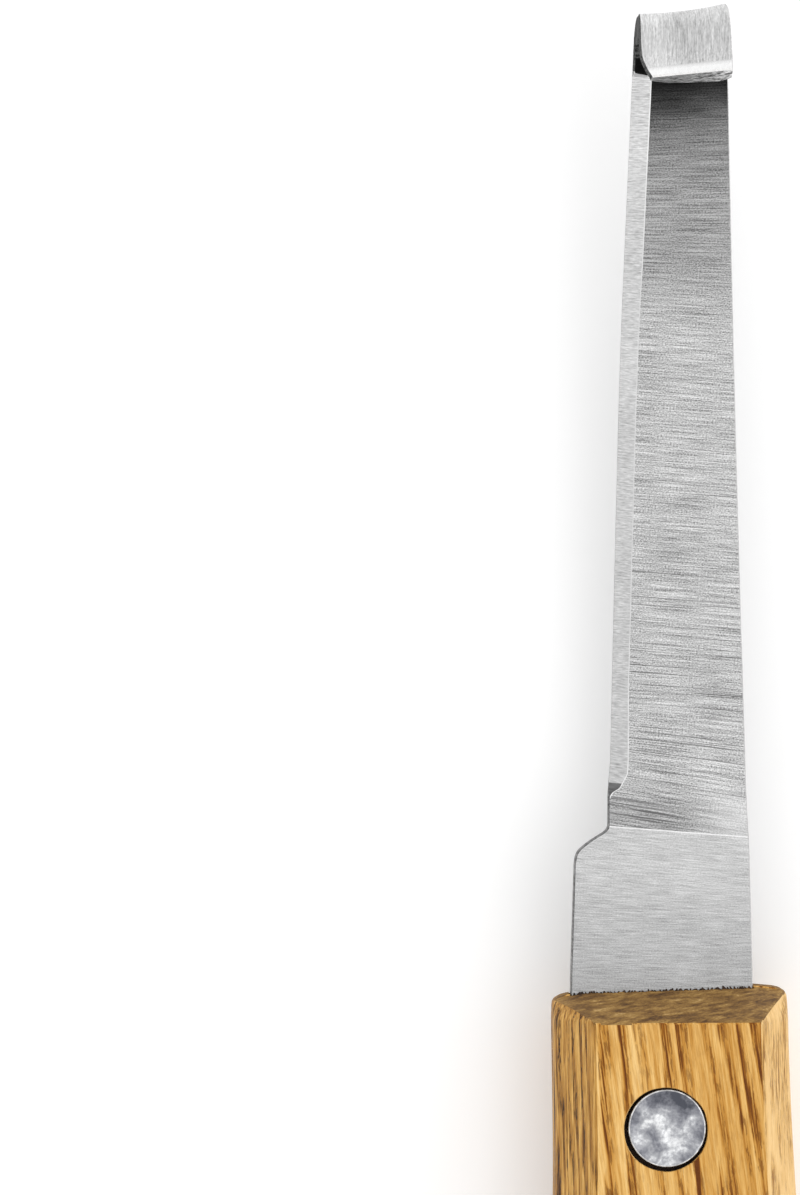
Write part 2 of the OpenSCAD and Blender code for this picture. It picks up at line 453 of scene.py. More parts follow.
def blade_materials():
    """In the order of the zone numbers."""
    ricasso = steel("ricasso_steel", 124, 236, turn=1.2, rough=0.38, fine=0.66, broad=0.1,
                    patch=0.1, run=0.16, grain=2.2, grit=0.8)
    # painted highlight: a bright steel for the narrow strip where the bevel meets the flat and for
    # the lip of the grind
    ridge = steel("ridge_highlight_steel", 218, 255, turn=90, rough=0.3, fine=0.8, broad=0.2)
    bevel = steel("bevel_steel", 150, 255, turn=8, rough=0.34, fine=0.65, broad=0.1,
                  patch=0.15, run=1.5, grain=1.5)
    tip = steel("tip_steel", 226, 255, turn=90, rough=0.26, fine=0.7, broad=0.2, run=2.0)
    return (
        ground_steel(),
        shaded_by_run(ricasso, 0, GRIND_START, (222, 238, 252, 255)),
        shaded_by_run(bevel, GRIND_START, BEVEL_END, (230, 236, 240, 246, 255)),
        plain_steel("hook_steel", 124, 252, turn=90, rough=0.36, fine=0.6, broad=0.14,
                    patch=0.35, run=0.7, grain=1.4),
        plain_steel("side_steel", 52, 144, turn=0, rough=0.42, fine=0.8, broad=0.2, patch=0.5),
        shaded_by_run(tip, TIP_START, TIP_START + 0.5, (206, 240, 255)),
        plain_steel("end_steel", 70, 255, turn=0, rough=0.4, fine=1.5, broad=0.2, patch=0.5,
                    run=1.6, grain=0.7),
        shaded_by_run(ridge, GRIND_START, BEVEL_END, (248, 222, 218, 228, 255)),
        plain_steel("back_steel", **GROUND_LOOK),
        hook_inside_shade(),
    )


def wood(name, palette, tilt, gap, slope, pores=0.6, halo=0.45, shift=0, lean=0.0):
    """Ring-porous wood, with rings a gap apart that slope through the thickness.

    The palette runs from the pores to the pale late wood, and lean darkens one side.
    """
    s = Shader(name)
    turned = s.stretch(s.object_mm(), (1, 1, 1), turn=(0, 0, math.radians(tilt)), shift=(shift, 0, 0))
    warp = s.noise(s.stretch(turned, (0.22, 0.02, 0.22)), 1, 3, 0.55)
    parts = s.split(turned)
    q = s.math("MULTIPLY_ADD", parts["Z"], slope, parts["X"])
    q = s.math("MULTIPLY_ADD", s.math("SUBTRACT", warp, 0.5), 8, q)
    q = s.math("DIVIDE", q, gap)
    which = s.node("TexWhiteNoise", noise_dimensions="1D")
    s.feed(which.inputs["W"], s.math("FLOOR", q))
    early = s.ramp(s.math("FRACT", q), (
        (0.0, grey(0)), (0.16, grey(225)), (0.34, grey(255)), (0.66, grey(120)), (1.0, grey(0)),
    ))
    streak = s.noise(s.stretch(turned, (0.9, 0.05, 0.9), shift=(4, 0, 2)), 1, 3, 0.6)
    early = s.math("MULTIPLY", early, s.remap(which.outputs["Value"], 0, 1, 0.35, 1))
    early = s.math("MULTIPLY", early, s.remap(streak, 0.32, 0.6, 0.3, 1.2))
    fibre = s.noise(s.stretch(turned, (4.2, 0.16, 4.2)), 1, 4, 0.7)
    line = s.noise(s.stretch(turned, (3.6, 0.08, 3.6), shift=(2, 7, 1)), 1, 2, 0.6)
    pore = s.noise(s.stretch(turned, (4.6, 0.55, 4.6), shift=(9, 3, 0)), 1, 3, 0.6)
    lines = s.math("MULTIPLY", s.remap(line, 0.47, 0.57), early)
    tone = s.math("MULTIPLY_ADD", parts["X"], -lean, 0.84)
    tone = s.math("MULTIPLY_ADD", early, -halo, tone)
    tone = s.math("MULTIPLY_ADD", lines, -0.56, tone)
    tone = s.math("MULTIPLY_ADD", s.math("SUBTRACT", fibre, 0.5), 1.15, tone)
    tone = s.math("MULTIPLY_ADD", s.math("SUBTRACT", streak, 0.5), 0.5, tone)
    count = len(palette) - 1
    colour = s.ramp(tone, [(i / count, linear(*c)) for i, c in enumerate(palette)])
    hole = s.math("MULTIPLY", s.remap(pore, 0.5, 0.6), s.remap(early, 0.05, 0.5, 0.2, 1))
    colour = s.mix(s.math("MULTIPLY", hole, pores), colour, linear(*palette[0]))
    s.to("Base Color", colour)
    s.to("Roughness", s.remap(fibre, 0.3, 0.7, 0.55, 0.42))
    depth = s.math("MULTIPLY_ADD", hole, -1.4, s.math("MULTIPLY", fibre, 0.5))
    s.bump(depth, 0.6, 0.06)
    s.bsdf.inputs["Specular IOR Level"].default_value = 0.18
    return s.material


def end_wood(name, palette):
    """Sawn end grain: short pale fibres on dark brown, in slanting rows; the dark brown is partly the
    end grain and partly painted shade.
    """
    s = Shader(name)
    turned = s.stretch(s.object_mm(), (1, 1, 1), turn=(0, 0, math.radians(-16)))
    fibre = s.noise(s.stretch(turned, (0.3, 2.6, 1.2)), 1, 4, 0.7, 0.3)
    pits = s.noise(s.stretch(turned, (4, 5, 5), shift=(5, 1, 0)), 1, 3, 0.6)
    rows = s.noise(s.stretch(turned, (0.25, 1.0, 0.5), shift=(1, 8, 0)), 1, 2, 0.5)
    tone = s.math("MULTIPLY_ADD", s.math("SUBTRACT", fibre, 0.5), 1.6, 0.48)
    tone = s.math("MULTIPLY_ADD", s.math("SUBTRACT", pits, 0.5), 0.5, tone)
    tone = s.math("MULTIPLY_ADD", s.math("SUBTRACT", rows, 0.5), 0.7, tone)
    count = len(palette) - 1
    colour = s.ramp(tone, [(i / count, linear(*c)) for i, c in enumerate(palette)])
    s.to("Base Color", colour)
    s.set(Roughness=0.75)
    s.bump(tone, 0.7, 0.12)
    return s.material


FACE_WOOD = ((102, 52, 4), (150, 92, 18), (194, 138, 58), (222, 174, 98), (240, 200, 132))
# Painted shade and light: the long sides are one wood, the edge side painted darker as shaded and the
# spine side paler as lit.
SHADED_EDGE_WOOD = ((36, 16, 2), (68, 38, 6), (128, 84, 28), (182, 132, 60), (222, 176, 98))
LIT_SPINE_WOOD = ((130, 82, 30), (184, 136, 68), (216, 172, 102), (232, 190, 124), (242, 204, 140))
# Partly painted shade: end grain is darker, and the ends are painted darker still for less light
# falling on them.
END_GRAIN_AND_SHADE = ((48, 28, 4), (96, 64, 22), (136, 100, 46), (172, 134, 72), (226, 192, 134))


# The wood materials, in the order of wood_materials(): the cuts, with painted shade on the edge side
# and painted light on the spine side, and painted shade for the recesses.
FACE_CUT, SHADED_EDGE_SIDE, LIT_SPINE_SIDE, END_CUT_AND_SHADE, SHADED_RECESS = range(5)


def wood_materials(name):
    """The flat face, the two long sides (painted shade on the edge side, painted light on the spine
    side), the sawn ends (partly painted shade) and painted shade for the rivet holes and the
    splinters at the torn edge.
    """
    # painted shade: a near-black brown for the shadow in the rivet holes and under the torn edge
    hole = Shader("wood_hole_shade_" + name)
    recess_shade = hole.noise(hole.object_mm(), 1.5, 3, 0.6)
    hole.to("Base Color", hole.ramp(recess_shade, ((0.3, linear(20, 13, 8)), (0.7, linear(66, 42, 22)))))
    hole.set(Roughness=0.85)
    return (
        wood("wood_face_" + name, FACE_WOOD, tilt=-7, gap=2.1, slope=0.25, halo=0.36,
             shift=1.2, lean=0.011),
        wood("wood_edge_shaded_" + name, SHADED_EDGE_WOOD, tilt=0, gap=1.2, slope=0.6, pores=0.95, halo=0.42),
        wood("wood_spine_" + name, LIT_SPINE_WOOD, tilt=2, gap=2.1, slope=0.6, pores=0.5, halo=0.3),
        end_wood("wood_end_and_shade_" + name, END_GRAIN_AND_SHADE),
        hole.material,
    )


def rivet_materials():
    """Hammered heads with lilac-grey patches and painted shade towards the rim and the +y side, and
    their polished rims.
    """
    s = Shader("rivet_steel")
    coords = s.object_mm()
    blotch = s.noise(s.stretch(coords, (0.33, 0.33, 0.33), shift=(3.4, 7.1, 0)), 1, 3, 0.5, 0.8)
    speck = s.noise(coords, 3.0, 3, 0.6)
    tone = s.math("MULTIPLY_ADD", s.math("SUBTRACT", speck, 0.5), 0.3, blotch)
    share = s.split(s.node("TexCoord").outputs["Generated"])
    out = [s.math("SUBTRACT", share[axis], 0.5) for axis in "XY"]
    out = [s.math("MULTIPLY", part, part) for part in out]
    rim_share = s.math("MULTIPLY", s.math("SQRT", s.math("ADD", *out)), 2)
    # painted shade: the head darkened towards its rim
    tone = s.math("SUBTRACT", tone, s.remap(rim_share, 0.5, 0.95, 0, 0.07))
    # painted shade: the head darker towards its +y side
    tone = s.math("MULTIPLY_ADD", s.math("SUBTRACT", share["Y"], 0.45), -0.16, tone)
    colour = s.ramp(tone, (
        (0.24, linear(82, 84, 92)), (0.4, linear(130, 131, 138)),
        (0.54, linear(172, 173, 177)), (0.68, linear(240, 241, 242)),
    ))
    s.to("Base Color", colour)
    s.set(Metallic=1.0)
    s.to("Roughness", s.remap(tone, 0.3, 0.7, 0.5, 0.26))
    s.bump(tone, 0.6, 0.1)
    rim = Shader("rivet_rim")
    wear = rim.noise(rim.object_mm(), 1.6, 3, 0.6)
    rim.to("Base Color", rim.ramp(wear, ((0.35, grey(150)), (0.65, grey(236)))))
    rim.set(Metallic=1.0, Roughness=0.25)
    return s.material, rim.material


# ---------------------------------------------------------------------- blade
# The zones of the steel, in the order of blade_materials().
GROUND, RICASSO, BEVEL, HOOK, SIDE, TIP, END, RIDGE_HIGHLIGHT, BACK, SHADED_INSIDE = range(10)

# A place along the steel: the distance run, y and z, the angle of rise and the thickness.
Station = namedtuple("Station", "run y z turn t")

# Each key is (distance from the handle along the steel, value there).
EDGE_KEYS = (
    (-TANG_SHOULDER, RICASSO_EDGE), (0, RICASSO_EDGE), (12.4, -9.5), (13.4, -9.25),
    (14.6, -7.9), (15.7, -6.25), (16.1, -6.12), (19.4, -6.1), (22.8, -5.82),
    (58.8, -5.05), (67.8, -4.8), (94.5, -3.85), (97, -3.72), (98.8, -3.8), (100.7, -3.85),
    (101.5, -3.7), (102.1, -3.45), (102.9, -3.1), (103.5, -2.6),
)
SPINE_KEYS = (
    (-TANG_SHOULDER, RICASSO_SPINE), (0, RICASSO_SPINE), (15.3, 7.95), (22, 7.65),
    (45, 6.9), (68, 6.15), (91, 5.42), (94, 4.75), (97.1, 4.6), (98.8, 4.92), (103, 5.2),
)
BEVEL_KEYS = (
    (19.0, 0), (19.6, 0.35), (20.0, 1.0), (21.4, 1.65), (30, 1.5), (60, 1.55),
    (80, 1.7), (91.3, 1.72), (91.8, 0),
)
SKEW_KEYS = (
    (4, 0), (14, GRIND_SKEW), (19, GRIND_SKEW), (30, 0), (60, 0), (88, HOOK_SKEW),
    (97, 1.06 * HOOK_SKEW), (103, 0.86 * HOOK_SKEW),
)
PIVOT_KEYS = ((14, -6), (19, -6), (30, 0))


def tang_width(run):
    """Half width of the tang, tapered and then rounded off at its end."""
    r = TANG_END_W / 2
    from_end = run + TANG_LEN
    taper = keyed(((-TANG_LEN + r, r), (-TANG_SHOULDER, RICASSO_W / 2)), run)
    if from_end >= r:
        return taper
    return max(0.3, math.sqrt(max(0, r * r - (r - from_end) ** 2)))


def flat_stations():
    """The tang and the ricasso, up to where the grind begins."""
    front_z = BACK_Z + STOCK_T
    r = TANG_END_W / 2
    runs = [-TANG_LEN + r - r * math.cos(a) for a in spread(0, math.pi / 2, 7)]
    runs += spread(-TANG_LEN + 12, -TANG_SHOULDER, 16)
    runs += spread(-TANG_SHOULDER + 3, 9, 8) + spread(10, GRIND_START - LIP_W, 28)
    runs.append(GRIND_START)
    return [Station(run, FRONT_Y + run, front_z, 0, STOCK_T) for run in runs]


def ground_stations():
    """The hollow where the grinding wheel ran out, then the bowed blade."""
    ground_z = BACK_Z + GROUND_T
    step = STOCK_T - GROUND_T
    reach = math.sqrt(GRIND_R ** 2 - (GRIND_R - step) ** 2)
    start = GRIND_START
    made = []
    for d in spread(0, reach, 14)[1:]:
        rise = GRIND_R - math.sqrt(GRIND_R ** 2 - (reach - d) ** 2)
        run = start + d
        made.append(Station(run, FRONT_Y + run, ground_z + rise, 0, GROUND_T + rise))
    for run in spread(start + reach, BOW_START, 24)[1:]:
        made.append(Station(run, FRONT_Y + run, ground_z, 0, GROUND_T))
    even = spread(0, 0.975 * BOW_ANGLE, 60)[1:]
    for a in even + spread(0.975 * BOW_ANGLE, BOW_ANGLE, 14)[1:]:
        y = FRONT_Y + BOW_START + BOW_R * math.sin(a)
        z = ground_z + BOW_R * (1 - math.cos(a))
        made.append(Station(BOW_START + BOW_R * a, y, z, a, GROUND_T))
    return made


def hook_stations(toe):
    """Up, over and back, from the last station of the bow."""
    centre_y = toe.y - BEND_R * math.sin(toe.turn)
    centre_z = toe.z + BEND_R * math.cos(toe.turn)
    made = []
    run = toe.run
    last = toe.turn
    quarter = math.pi / 2
    for turn in spread(toe.turn, quarter, 18)[1:]:
        run += BEND_R * (turn - last)
        last = turn
        y = centre_y + BEND_R * math.sin(turn)
        z = centre_z - BEND_R * math.cos(turn)
        made.append(Station(run, y, z, turn, GROUND_T))
    for rise in spread(0, HOOK_RISE, 5)[1:]:
        z = centre_z + rise
        made.append(Station(run + rise, centre_y + BEND_R, z, quarter, GROUND_T))
    run += HOOK_RISE
    centre_z += HOOK_RISE
    for turn in spread(quarter, math.pi, 18)[1:]:
        run += BEND_R * (turn - last)
        last = turn
        y = centre_y + BEND_R * math.sin(turn)
        z = centre_z - BEND_R * math.cos(turn)
        made.append(Station(run, y, z, turn, GROUND_T))
    for out in spread(0, HOOK_END, 12)[1:]:
        y = centre_y - out
        made.append(Station(run + out, y, centre_z + BEND_R, math.pi, GROUND_T))
    return made


COLUMNS = 14


def blade_section(st):
    """Points (x, h) round the steel; h runs from the front face to the back."""
    if st.run < -TANG_SHOULDER:
        half = tang_width(st.run)
        left, right = -BLADE_OFFSET - half, -BLADE_OFFSET + half
    else:
        left = softened(EDGE_KEYS, st.run, 0.35)
        right = softened(SPINE_KEYS, st.run, 0.35)
    nick = min(NICK, (right - left) / 6)
    bevel = max(0, softened(BEVEL_KEYS, st.run, 0.12))
    if bevel > nick:
        bevel += 0.05 * ripple(st.run, 0, 0, 9, 3.3) + 0.02 * ripple(st.run, 0, 0, 2, 8.1)
        drop = (st.t - EDGE_T) * min(1, bevel / BEVEL_W)
    else:
        bevel = drop = nick
    low_nick = min(nick, (st.t - drop) / 3)
    ridge = left + bevel + RIDGE_W
    front = [(left + bevel, 0)]
    front += [(x, 0) for x in spread(ridge, right - nick, COLUMNS + 1)]
    back = [(x, st.t) for x in spread(right - nick, left + low_nick, COLUMNS + 1)]
    spine = [(right, nick), (right, st.t - nick)]
    edge = [(left, st.t - low_nick), (left, drop)]
    return front + spine + back + edge


def tip_shift(x, h, left, right):
    """The end is ground so that its inner edge reaches further."""
    across = (x - left) / (right - left)
    lens = keyed(((0, 0.1), (0.2, 0.45), (0.5, 0.65), (0.85, 0.8), (1, 0.6)), across)
    return lens * (1 - h / GROUND_T)


def blade_ring(st, tip):
    """One section of the steel, placed in the row frame."""
    ring, lay = [], []
    skew = eased(SKEW_KEYS, st.run)
    pivot = keyed(PIVOT_KEYS, st.run)
    section = blade_section(st)
    left = min(x for x, _ in section)
    right = max(x for x, _ in section)
    for x, h in section:
        reach = tip_shift(x, h, left, right) if tip else 0
        if tip and h > GROUND_T / 2:
            h -= 0.22
        y = st.y + h * math.sin(st.turn) + reach * math.cos(st.turn)
        z = st.z - h * math.cos(st.turn) + reach * math.sin(st.turn)
        across = (x - (left + right) / 2) / (right - left)
        y += HOOK_DISH * across * across * math.sin(st.turn) ** 2 * (st.turn > 0.5)
        ring.append((x, y + skew * (x - pivot), z))
        lay.append((x + 0.5 * h, st.run + reach))
    return ring, lay


def front_zone(run, turn):
    """The front face, from the tang to the inside of the hook."""
    if run < GRIND_START - LIP_W:
        return RICASSO
    # painted highlight on the lip where the grind begins
    if run < GRIND_START:
        return RIDGE_HIGHLIGHT
    # painted shade inside the curl of the hook
    return SHADED_INSIDE if turn > 0.3 else GROUND


def blade_zone(run, turn, j):
    """The material of a face, from where it is on the steel."""
    back_start = COLUMNS + 4
    edge_start = back_start + COLUMNS
    if j == 0:
        return RIDGE_HIGHLIGHT if BEVEL_START < run < 91.4 else front_zone(run, turn)
    if j <= COLUMNS:
        return front_zone(run, turn)
    if j == edge_start + 2 and BEVEL_START < run < 91.9:
        return SIDE if run < 20.4 else BEVEL
    if j < back_start:
        return BEVEL
    if j >= edge_start:
        return SHADED_INSIDE if run > BEVEL_END else SIDE
    if run > TIP_START:
        return TIP
    if turn > 0.9:
        return HOOK
    return RICASSO if run < 15 else BACK


def make_blade():
    stations = flat_stations() + ground_stations()
    stations += hook_stations(stations[-1])
    verts, lays, rings = [], [], []
    for i, st in enumerate(stations):
        ring, lay = blade_ring(st, i == len(stations) - 1)
        rings.append(ring)
        verts += ring
        lays += lay
    faces = skin(rings, cap_start=True, cap_end=False)
    count = len(rings[0])
    zones = []
    for i in range(len(rings) - 1):
        run = (stations[i].run + stations[i + 1].run) / 2
        zones += [blade_zone(run, stations[i].turn, j) for j in range(count)]
    zones.append(RICASSO)
    last = (len(rings) - 1) * count
    back_of = 2 * COLUMNS + 4
    for j in range(1, COLUMNS + 1):
        faces.append((last + j, last + j + 1, last + back_of - j, last + back_of - j + 1))
    faces.append(tuple(last + COLUMNS + 1 + k for k in range(4)))
    faces.append(tuple(last + k for k in (0, 1, back_of, back_of + 1, back_of + 2)))
    zones += [END] * (COLUMNS + 2)
    blade = make_object("blade_body", verts, faces)
    for material in blade_materials():
        blade.data.materials.append(material)
    blade.data.polygons.foreach_set("material_index", zones)
    layer = blade.data.uv_layers.new(name="lay")
    for loop in blade.data.loops:
        layer.data[loop.index].uv = lays[loop.vertex_index]
    for face in blade.data.polygons[-COLUMNS - 2:]:
        for loop in face.loop_indices:
            corner = verts[blade.data.loops[loop].vertex_index]
            layer.data[loop].uv = (corner[0], 200 + corner[2])
    holes = []
    for place in PLACES:
        centre = RIVET_CENTRES[place]
        profile = ((SOCKET_R + FIT, BACK_Z - 1), (SOCKET_R + FIT, BACK_Z + STOCK_T + 1))
        holes.append(lathe("hole", profile, centre, 48))
    cut_away(blade, holes)
    finish_shading(blade, 18)
    return blade


# --------------------------------------------------------------------- handle
EDGE_SIDE = ((0, 11.8), (18, 11.6), (62, 12.8), (97, 11.1), (112, 12.4), (120, 12.4))
SPINE_SIDE = ((0, 11.8), (50, 14.0), (97, 11.1), (113, 12.4), (120, 12.4))
WALL_H = 2.6
FRONT_LAND = 0.9
EDGE_CHAMFER = 3.9
SPINE_CHAMFER = 3.3
FRONT_CHAMFER = 2.7
FRONT_CORNER = 0.8
BUTT_ROUND = 11
BUTT_END_SHARE = 0.55
BUTT_CHAMFER = 3
BUTT_HEIGHT_SHARE = 0.55
SLANT = math.tan(math.radians(2))
SLANT_FADE = 3
LEAST_INSET = 0.08


def butt_share(v):
    """How much of its width the handle keeps at a distance from the front."""
    start = HANDLE_LEN - BUTT_ROUND
    if v <= start:
        return 1
    return math.sqrt(1 - (1 - BUTT_END_SHARE ** 2) * ((v - start) / BUTT_ROUND) ** 2)


def height_share(v):
    """How much of its height a scale has there, with eased corners."""
    front = v / FRONT_CHAMFER
    butt = BUTT_HEIGHT_SHARE + (1 - BUTT_HEIGHT_SHARE) * (HANDLE_LEN - v) / BUTT_CHAMFER
    return smooth_min(smooth_min(front, 1, 0.14), butt, 0.2)


def fillet(before, corner, after, radius, count=5):
    """Points along a rounded corner."""
    a, b, c = Vector(before), Vector(corner), Vector(after)
    reach_a = min(radius, (a - b).length * 0.45)
    reach_c = min(radius, (c - b).length * 0.45)
    start = b + (a - b).normalized() * reach_a
    end = b + (c - b).normalized() * reach_c
    made = []
    for u in spread(0, 1, count):
        made.append(start * (1 - u) ** 2 + b * 2 * u * (1 - u) + end * u * u)
    return made


def scale_section(v):
    """The outline (x, height) of one scale at a distance from the front."""
    share = max(0, height_share(v))
    corner = max(0, 1 - v / FRONT_CORNER)
    rounding = FRONT_CORNER * (1 - math.sqrt(1 - corner * corner)) * 0.8
    left = -eased(EDGE_SIDE, v) * butt_share(v) + rounding
    right = eased(SPINE_SIDE, v) * butt_share(v) - rounding
    inset = max(share, LEAST_INSET)
    wall = FRONT_LAND + (WALL_H - FRONT_LAND) * share
    top = wall + (SCALE_T - WALL_H) * inset
    seam = 0.1
    points = [
        (left + seam, 0), (left, wall), (left + EDGE_CHAMFER * inset, top),
        (right - SPINE_CHAMFER * inset, top), (right, wall), (right - seam, 0),
    ]
    outline = [Vector(points[0]), Vector((left, 2 * seam))]
    radii = (0.9, 0.55, 0.5, 0.9)
    for i, radius in enumerate(radii, start=1):
        bend = fillet(points[i - 1], points[i], points[i + 1], radius)
        if i > 1:
            between = 9 if i == 3 else 4
            gap = spread(0, 1, between + 2)[1:-1]
            outline += [outline[-1].lerp(bend[0], u) for u in gap]
        outline += bend
    outline += [Vector((right, 2 * seam)), Vector(points[-1])]
    return outline


def scale_rings():
    places = spread(0, 0.5, 5) + spread(0.9, 3.4, 14) + spread(4.5, 116, 90)
    places = [v for v in places if v < HANDLE_LEN - BUTT_ROUND - 0.5]
    turn = spread(0, math.pi / 2, 22)
    places += [HANDLE_LEN - BUTT_ROUND * math.cos(a) for a in turn]
    return places


def tang_cutter(name, height):
    """The room for the tang, open at the front of the handle."""
    r = TANG_END_W / 2 + FIT
    end_y = FRONT_Y - TANG_LEN + TANG_END_W / 2
    outline = [(RICASSO_EDGE - FIT, FRONT_Y + 3), (RICASSO_EDGE - FIT, FRONT_Y - TANG_SHOULDER)]
    for a in spread(math.pi, 2 * math.pi, 21):
        outline.append((-BLADE_OFFSET + r * math.cos(a), end_y + r * math.sin(a)))
    outline += [(RICASSO_SPINE + FIT, FRONT_Y - TANG_SHOULDER), (RICASSO_SPINE + FIT, FRONT_Y + 3)]
    rings = [[(x, y, MIDDLE_Z + dz) for x, y in outline] for dz in (-height, height)]
    return make_object(name, rings[0] + rings[1], skin(rings))


HOLE_SHIFT = 0.14


def worn_hole(seed):
    """Makes a drilled hole slightly out of round, more so on one side."""
    def shape(x, y, radius, _):
        if radius < HEAD_R:
            return x, y, 0
        grow = 1 + 0.012 * ripple(x, y, 0, 2.2, seed) + 0.004 * ripple(x, y, 0, 0.6, seed)
        return x * grow - HOLE_SHIFT, y * grow - HOLE_SHIFT, 0
    return shape


def rivet_cutter(place, side, seed):
    """A through hole with a flat recess for the head on the outer face."""
    node = place + ("_rivet_socket" if side > 0 else "_rivet_pin")
    face = MIDDLE_Z + side * SCALE_T
    floor = face - side * (HEAD_T + 0.07)
    profile = [
        (SOCKET_R + FIT, MIDDLE_Z - side), (SOCKET_R + FIT, floor),
        (HEAD_R + 0.22, floor), (HEAD_R + 0.22, face - side * 0.12),
        (HEAD_R + 0.32, face + side * 0.06), (HEAD_R + 0.32, face + side),
    ]
    return lathe("hole", profile, middle_mm(node), 96, worn_hole(seed))


def in_rivet_hole(place, side):
    """Whether a point is inside a rivet hole, below the face of the wood."""
    if side * (place.z - MIDDLE_Z) > SCALE_T - 0.12:
        return False
    for centre in RIVET_CENTRES.values():
        away = place - centre
        if math.hypot(away.x, away.y) < HEAD_R + 0.6:
            return True
    return False


def ragged_cutter():
    """Splintered wood where the front of the scale meets the steel."""
    verts, rings = [], []
    floor = MIDDLE_Z + STOCK_T / 2 - 0.2
    for x in spread(RICASSO_EDGE - FIT, RICASSO_SPINE + FIT, 90):
        torn = 0.16 + 0.16 * ripple(x, 0, 0, 0.7, 4.4) + 0.1 * ripple(x, 0, 0, 0.25, 9.2)
        top = MIDDLE_Z + STOCK_T / 2 + FIT + max(0, torn)
        back, front = FRONT_Y - 1.0, FRONT_Y + 2
        verts += [(x, back, floor), (x, front, floor), (x, front, top + 0.2), (x, back, top - 0.1)]
        rings.append(verts[-4:])
    return make_object("ragged", verts, skin(rings))


def add_splinters(scale, count=60):
    """Small fibres left standing on the torn edge, joined to the scale's mesh."""
    work = bmesh.new()
    work.from_mesh(scale.data)
    base_z = MIDDLE_Z + STOCK_T / 2 + 0.06
    for i, x in enumerate(spread(RICASSO_EDGE + 0.3, RICASSO_SPINE - 0.3, count)):
        x += 0.2 * ripple(i, 0, 0, 0.7, 2.2)
        start = Vector((x, FRONT_Y - 0.35 + SLANT * x, base_z + 0.12))
        reach = max(0, 0.04 + 0.22 * ripple(i, 3, 0, 0.8, 6.1))
        lean = 0.5 * ripple(i, 7, 0, 0.6, 1.5)
        tip = start + Vector((lean, 0.25 + reach, -0.12))
        half = 0.17 + 0.12 * ripple(i, 9, 0, 0.5, 3.3)
        corners = [(-half, -0.04), (half, -0.04), (half, 0.05), (-half, 0.05)]
        low = [work.verts.new((start + Vector((dx, 0, dz))) * MM) for dx, dz in corners]
        high = [work.verts.new((tip + Vector((dx, 0, dz)) * 0.3) * MM) for dx, dz in corners]
        for j in range(4):
            k = (j + 1) % 4
            # painted shade: the fibres take the recess colour, for the shadowed slot under them
            work.faces.new((low[j], low[k], high[k], high[j])).material_index = SHADED_RECESS
        work.faces.new(low[::-1]).material_index = SHADED_RECESS
        work.faces.new(high).material_index = SHADED_RECESS
    work.to_mesh(scale.data)
    work.free()


def wood_cut(normal, place, side):
    """Which wood material a face of a scale takes: its cut, painted shade or light on a long side, or
    painted shade inside a rivet hole.
    """
    if in_rivet_hole(place, side):
        return SHADED_RECESS
    front_end = normal.y > 0.55 and place.y > FRONT_Y - 2 * FRONT_CHAMFER
    if front_end or normal.y < -0.7:
        return END_CUT_AND_SHADE
    # painted shade on the side facing -x, painted light on the side facing +x
    if abs(normal.x) > 0.5:
        return SHADED_EDGE_SIDE if normal.x < 0 else LIT_SPINE_SIDE
    return FACE_CUT


def make_scale(name, side):
    """One scale; side is 1 for the front and -1 for the back."""
    rings = []
    for v in scale_rings():
        slant = SLANT * max(0, 1 - v / SLANT_FADE)
        ring = []
        for x, h in scale_section(v):
            lift = 0.03 * ripple(x, v, 0, 14, side * 5.5) if 3 < v < 112 and h > 8.5 else 0
            crown = 0.045 * max(0, abs(x) - 8) ** 2 * max(0, 1 - v / 5)
            ring.append((x, FRONT_Y - v + slant * x - crown, MIDDLE_Z + side * (h + min(0, lift))))
        rings.append(ring)
    verts = [p for ring in rings for p in ring]
    scale = make_object(name, verts, skin(rings))
    cutters = [tang_cutter("room", STOCK_T / 2 + FIT)]
    cutters += [rivet_cutter(p, side, 3.7 * i + side) for i, p in enumerate(PLACES)]
    if side > 0:
        cutters.append(ragged_cutter())
    finish_shading(scale, 30)
    cut_away(scale, cutters)
    finish_shading(scale, 30)
    for material in wood_materials(name):
        scale.data.materials.append(material)
    for face in scale.data.polygons:
        face.material_index = wood_cut(face.normal, face.center / MM, side)
    if side > 0:
        add_splinters(scale)
    return scale


# --------------------------------------------------------------------- rivets
def dented(seed, side, rings):
    """Shallow hammer dents inside the rim, in the first rings of a profile."""
    def shape(x, y, radius, ring):
        if ring >= rings:
            return x, y, 0
        inside = max(0, 1 - (radius / (HEAD_R - 0.35)) ** 6)
        dent = 0.07 * ripple(x, y, 0, 1.9, seed) + 0.03 * ripple(x, y, 0, 0.8, seed)
        return x, y, side * inside * (dent - 0.06)
    return shape


def head_profile(face, side):
    """From the middle of the head over its rim to its underside."""
    radii = [0.02] + spread(0.35, HEAD_R - 0.5, 16)
    radii += [HEAD_R - inward for inward in (0.34, 0.22, 0.12, 0.05, 0)]
    drops = [0] * 17 + [0.0, 0.01, 0.05, 0.12, 0.24]
    return [(r, face - side * d) for r, d in zip(radii, drops)]


RIM_W = 0.26
SOCKET_DEPTH = 11.5


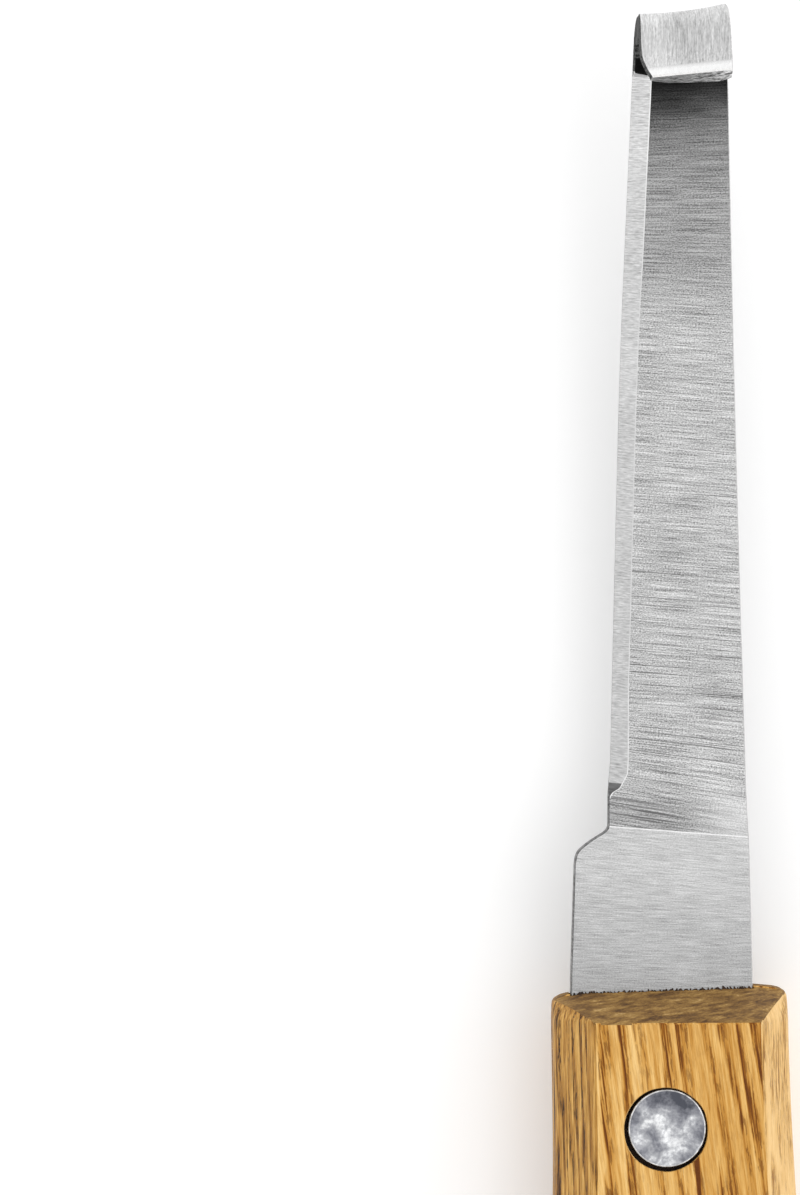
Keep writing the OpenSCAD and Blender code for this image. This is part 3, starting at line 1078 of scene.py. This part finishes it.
def make_rivet_half(place, half, seed):
    """The socket half is a head on a tube, and the pin half a head on a pin."""
    side = 1 if half == "socket" else -1
    node = "{}_rivet_{}".format(place, half)
    low, high = box_mm(node)
    face = high.z if side > 0 else low.z
    far = low.z if side > 0 else high.z
    under = face - side * HEAD_T
    head = head_profile(face, side)
    profile = head + [(HEAD_R, under)]
    if half == "socket":
        deep = far + SOCKET_DEPTH
        profile += [
            (SOCKET_R, under), (SOCKET_R, far + 0.2), (SOCKET_R - 0.2, far),
            (PIN_R + 0.1, far), (PIN_R, far + 0.1), (PIN_R, deep), (0.02, deep),
        ]
    else:
        r = PIN_R - 0.02
        profile += [(r, under), (r, far - 0.3), (r - 0.3, far), (0.02, far)]
    centre = middle_mm(node)
    segments = 96
    rivet = lathe(node + "_part", profile, centre, segments, dented(seed, side, len(head)))
    for quad in rivet.data.polygons[:len(head) * segments]:
        away = quad.center / MM - centre
        quad.material_index = int(math.hypot(away.x, away.y) > HEAD_R - RIM_W)
    finish_shading(rivet, 35)
    return rivet


# ---------------------------------------------------------------------- stage
def make_floor():
    reach = 3000
    corners = [(-reach, -reach, 0), (reach, -reach, 0), (reach, reach, 0), (-reach, reach, 0)]
    floor = make_object("floor", corners, [(0, 1, 2, 3)])
    s = Shader("floor_paper")
    s.to("Base Color", s.ramp(s.noise(s.object_mm(), 0.01, 2), ((0, grey(246)), (1, grey(250)))))
    s.set(Roughness=0.9, Emission_Strength=0.12)
    s.bsdf.inputs["Emission Color"].default_value = (1, 1, 1, 1)
    s.bsdf.inputs["Specular IOR Level"].default_value = 0.1
    floor.data.materials.append(s.material)


def make_world():
    world = bpy.data.worlds.new("studio")
    bpy.context.scene.world = world
    world.use_nodes = True
    sky = world.node_tree.nodes["Background"]
    sky.inputs["Color"].default_value = (1, 1, 1, 1)
    sky.inputs["Strength"].default_value = 1.03


def make_lamp(name, place, target, size, power):
    data = bpy.data.lights.new(name, "AREA")
    data.size = size * MM
    data.energy = power
    lamp = bpy.data.objects.new(name, data)
    bpy.context.scene.collection.objects.link(lamp)
    lamp.location = Vector(place) * MM
    aim = (Vector(target) - Vector(place)).to_track_quat("-Z", "Y")
    lamp.rotation_euler = aim.to_euler()


def make_camera():
    """Looks down on the blade from half a metre, leaning a degree sideways."""
    distance = 500
    lean = math.radians(1)
    blade_z = MIDDLE_Z + 1
    aim_x, aim_y = -27.0, FRONT_Y + 39.1
    view_height = 119.5
    data = bpy.data.cameras.new("camera")
    data.sensor_width = 36
    data.lens = data.sensor_width * distance / view_height
    data.clip_start = 0.01
    camera = bpy.data.objects.new("camera", data)
    bpy.context.scene.collection.objects.link(camera)
    place = (aim_x - distance * math.tan(lean), aim_y, blade_z + distance)
    camera.location = Vector(place) * MM
    camera.rotation_euler = (0, -lean, 0)
    bpy.context.scene.camera = camera


# ----------------------------------------------------------------- the object
def build():
    blade = make_blade()
    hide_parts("blade")
    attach(blade, BODY)
    for name, side in (("front_scale", 1), ("back_scale", -1)):
        scale = make_scale(name + "_wood", side)
        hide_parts(name)
        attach(scale, BODY)
    metals = rivet_materials()
    for i, place in enumerate(PLACES):
        for half in ("socket", "pin"):
            rivet = make_rivet_half(place, half, 4.1 * i + len(half))
            for metal in metals:
                rivet.data.materials.append(metal)
            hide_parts("{}_rivet_{}".format(place, half))
            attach(rivet, BODY)


make_camera()
make_floor()
make_world()
make_lamp("key", place=(300, 40, 450), target=(0, 80, 0), size=400, power=0.35)
bpy.context.scene.view_settings.view_transform = "Standard"
build()
